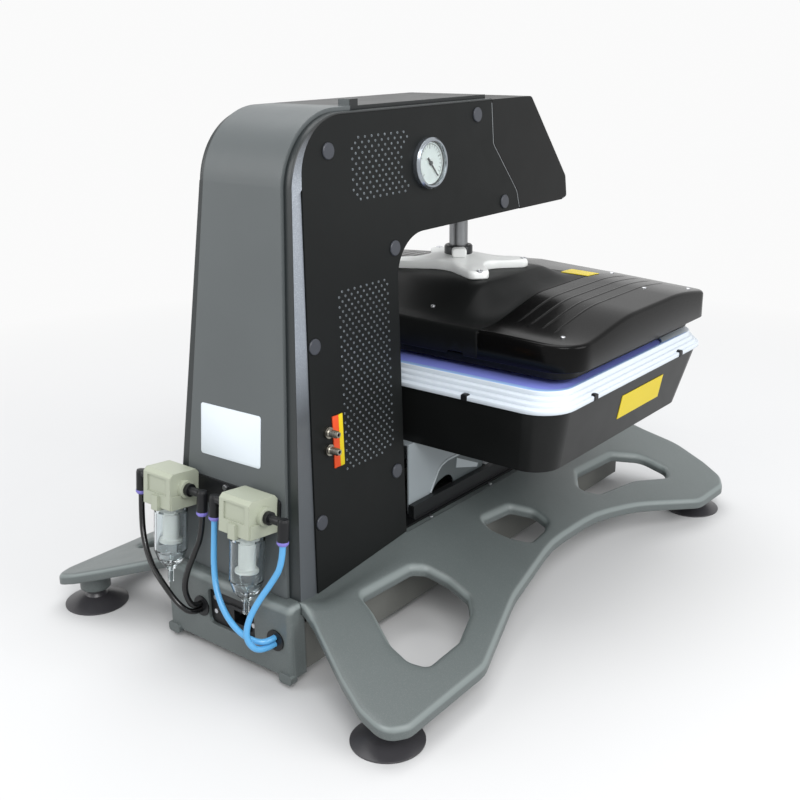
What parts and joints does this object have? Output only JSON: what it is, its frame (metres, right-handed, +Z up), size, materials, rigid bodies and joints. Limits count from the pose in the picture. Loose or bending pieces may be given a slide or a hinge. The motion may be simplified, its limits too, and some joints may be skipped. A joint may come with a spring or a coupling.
{
  "type": "pneumatic vacuum sublimation press",
  "caption": "Free-standing pneumatic press: splayed base on suction feet, tall column with overhanging head, lifting heater cover and a vacuum tray on a pull-out drawer.",
  "frame": {"origin": "on the floor under the middle of the footprint", "axes": "+Z up, +Y towards the back with the air filters, +X to the right seen from the front"},
  "size_m": [0.6364, 0.9494, 0.706],
  "materials": {
    "cast_paint": "satin grey paint on a casting",
    "sucker_rubber": "dark soft rubber",
    "zinc_steel": "bright zinc plated steel",
    "chassis_paint": "satin grey brown paint",
    "pump_alloy": "cast alloy",
    "black_plastic": "satin black moulding",
    "black_paint": "fine textured black paint",
    "cap_plastic": "dark grey plug",
    "column_paint": "satin grey paint",
    "plate_steel": "machined plate",
    "cylinder_alloy": "anodised",
    "gloss_black": "gloss black",
    "panel_film": "printed film, blank",
    "key_rubber": "light grey keys",
    "start_green": "green cap",
    "stop_red": "red cap",
    "gauge_black": "gloss black bezel",
    "dial_white": "white dial",
    "needle_black": "painted pointer",
    "clear_glass": "clear",
    "barb_brass": "nickel plated",
    "rod_chrome": "hard chrome",
    "spider_silver": "silver white paint",
    "cover_black": "gloss black paint",
    "cover_matte": "matte black paint",
    "heater_alloy": "cast heating plate",
    "badge_yellow": "blank yellow plate",
    "frame_silver": "silver white paint",
    "membrane_blue": "soft silicone sheet",
    "tray_black": "black paint",
    "tub_alloy": "plain alloy",
    "slide_zinc": "zinc plated sheet",
    "carriage_paint": "light grey paint",
    "filter_beige": "beige alloy paint",
    "bowl_clear": "clear polycarbonate",
    "insert_white": "white moulding",
    "collet_lavender": "lavender ring",
    "grommet_rubber": "soft black ring",
    "tube_black": "shiny soft tube",
    "tube_blue": "soft blue tube",
    "plate_white": "blank plate"
  },
  "bodies": {
    "machine": {"base_casting": "cast_paint", "suction_feet": "sucker_rubber", "foot_studs": "zinc_steel", "chassis_box": "chassis_paint", "vacuum_unit": "pump_alloy", "power_inlet": "black_plastic", "side_cover_right": "black_paint", "side_cover_left": "black_paint", "cover_caps": "cap_plastic", "column_shell": "column_paint", "back_cover": "column_paint", "inner_frame": "plate_steel", "air_cylinder": "cylinder_alloy", "head_floor": "column_paint", "front_hood": "gloss_black", "control_panel": "panel_film", "gauge_case": "gauge_black", "gauge_dial": "dial_white", "gauge_glass": "clear_glass", "hose_barbs": "barb_brass", "slide_deck": "gloss_black", "slide_rails": "slide_zinc", "filter_bracket": "black_plastic", "filter_bodies": "filter_beige", "filter_bowls": "bowl_clear", "filter_inserts": "insert_white", "elbow_fittings": "black_plastic", "tube_collets": "collet_lavender", "tube_grommets": "grommet_rubber", "air_tube_black_outer": "tube_black", "air_tube_black_inner": "tube_black", "air_tube_blue_inner": "tube_blue", "air_tube_blue_outer": "tube_blue", "blank_plates": "plate_white", "small_screws": "zinc_steel"},
    "press_head": {"piston_rod": "rod_chrome", "lift_spider": "spider_silver", "heater_cover_outer": "cover_black", "heater_cover_centre": "cover_matte", "heater_plate": "heater_alloy", "press_screws": "zinc_steel", "cover_badge": "badge_yellow"},
    "drawer": {"membrane_frame": "frame_silver", "frame_clips": "black_plastic", "membrane": "membrane_blue", "tray_shell": "tray_black", "vacuum_tub": "tub_alloy", "tray_badge": "badge_yellow", "tray_handle": "zinc_steel", "tray_carriage": "carriage_paint", "slide_inner": "slide_zinc"},
    "slide_stage": {"slide_middle": "slide_zinc"},
    "gauge_hand": {"gauge_needle": "needle_black"},
    "switch_rocker": {"power_rocker": "black_plastic"},
    "key_one": {"key_1": "key_rubber"},
    "key_two": {"key_2": "key_rubber"},
    "key_three": {"key_3": "key_rubber"},
    "key_four": {"key_4": "key_rubber"},
    "start_cap": {"start_button": "start_green"},
    "stop_cap": {"stop_button": "stop_red"}
  },
  "joints": [
    {"name": "press_stroke", "type": "slide", "parent": "machine", "child": "press_head", "axis": [0, 0, 1], "range_m": [0, 0.045]},
    {"name": "drawer_slide", "type": "slide", "parent": "machine", "child": "drawer", "axis": [0, -1, 0], "range_m": [0, 0.38]},
    {"name": "slide_follow", "type": "slide", "parent": "machine", "child": "slide_stage", "axis": [0, -1, 0], "range_m": [0, 0.19]},
    {"name": "gauge_swing", "type": "hinge", "parent": "machine", "child": "gauge_hand", "pos_m": [-0.08015, 0.09264, 0.618], "axis": [0.9997, 0, -0.0262], "range_deg": [0, 270], "stiffness_Nm_per_rad": 0.0004},
    {"name": "power_rock", "type": "hinge", "parent": "machine", "child": "switch_rocker", "pos_m": [0.003, 0.41664, 0.07], "axis": [-1, 0, 0], "range_deg": [0, 18]},
    {"name": "key_one_press", "type": "slide", "parent": "machine", "child": "key_one", "axis": [0, 0.7791, -0.627], "range_m": [0, 0.001], "stiffness_N_per_m": 300},
    {"name": "key_two_press", "type": "slide", "parent": "machine", "child": "key_two", "axis": [0, 0.7791, -0.627], "range_m": [0, 0.001], "stiffness_N_per_m": 300},
    {"name": "key_three_press", "type": "slide", "parent": "machine", "child": "key_three", "axis": [0, 0.7791, -0.627], "range_m": [0, 0.001], "stiffness_N_per_m": 300},
    {"name": "key_four_press", "type": "slide", "parent": "machine", "child": "key_four", "axis": [0, 0.7791, -0.627], "range_m": [0, 0.001], "stiffness_N_per_m": 300},
    {"name": "start_press", "type": "slide", "parent": "machine", "child": "start_cap", "axis": [0, 0.7791, -0.627], "range_m": [0, 0.004], "stiffness_N_per_m": 400},
    {"name": "stop_press", "type": "slide", "parent": "machine", "child": "stop_cap", "axis": [0, 0.7791, -0.627], "range_m": [0, 0.004], "stiffness_N_per_m": 400}
  ],
  "couplings": [
    {"joint": "slide_follow", "follows": "drawer_slide", "ratio": 0.5}
  ]
}
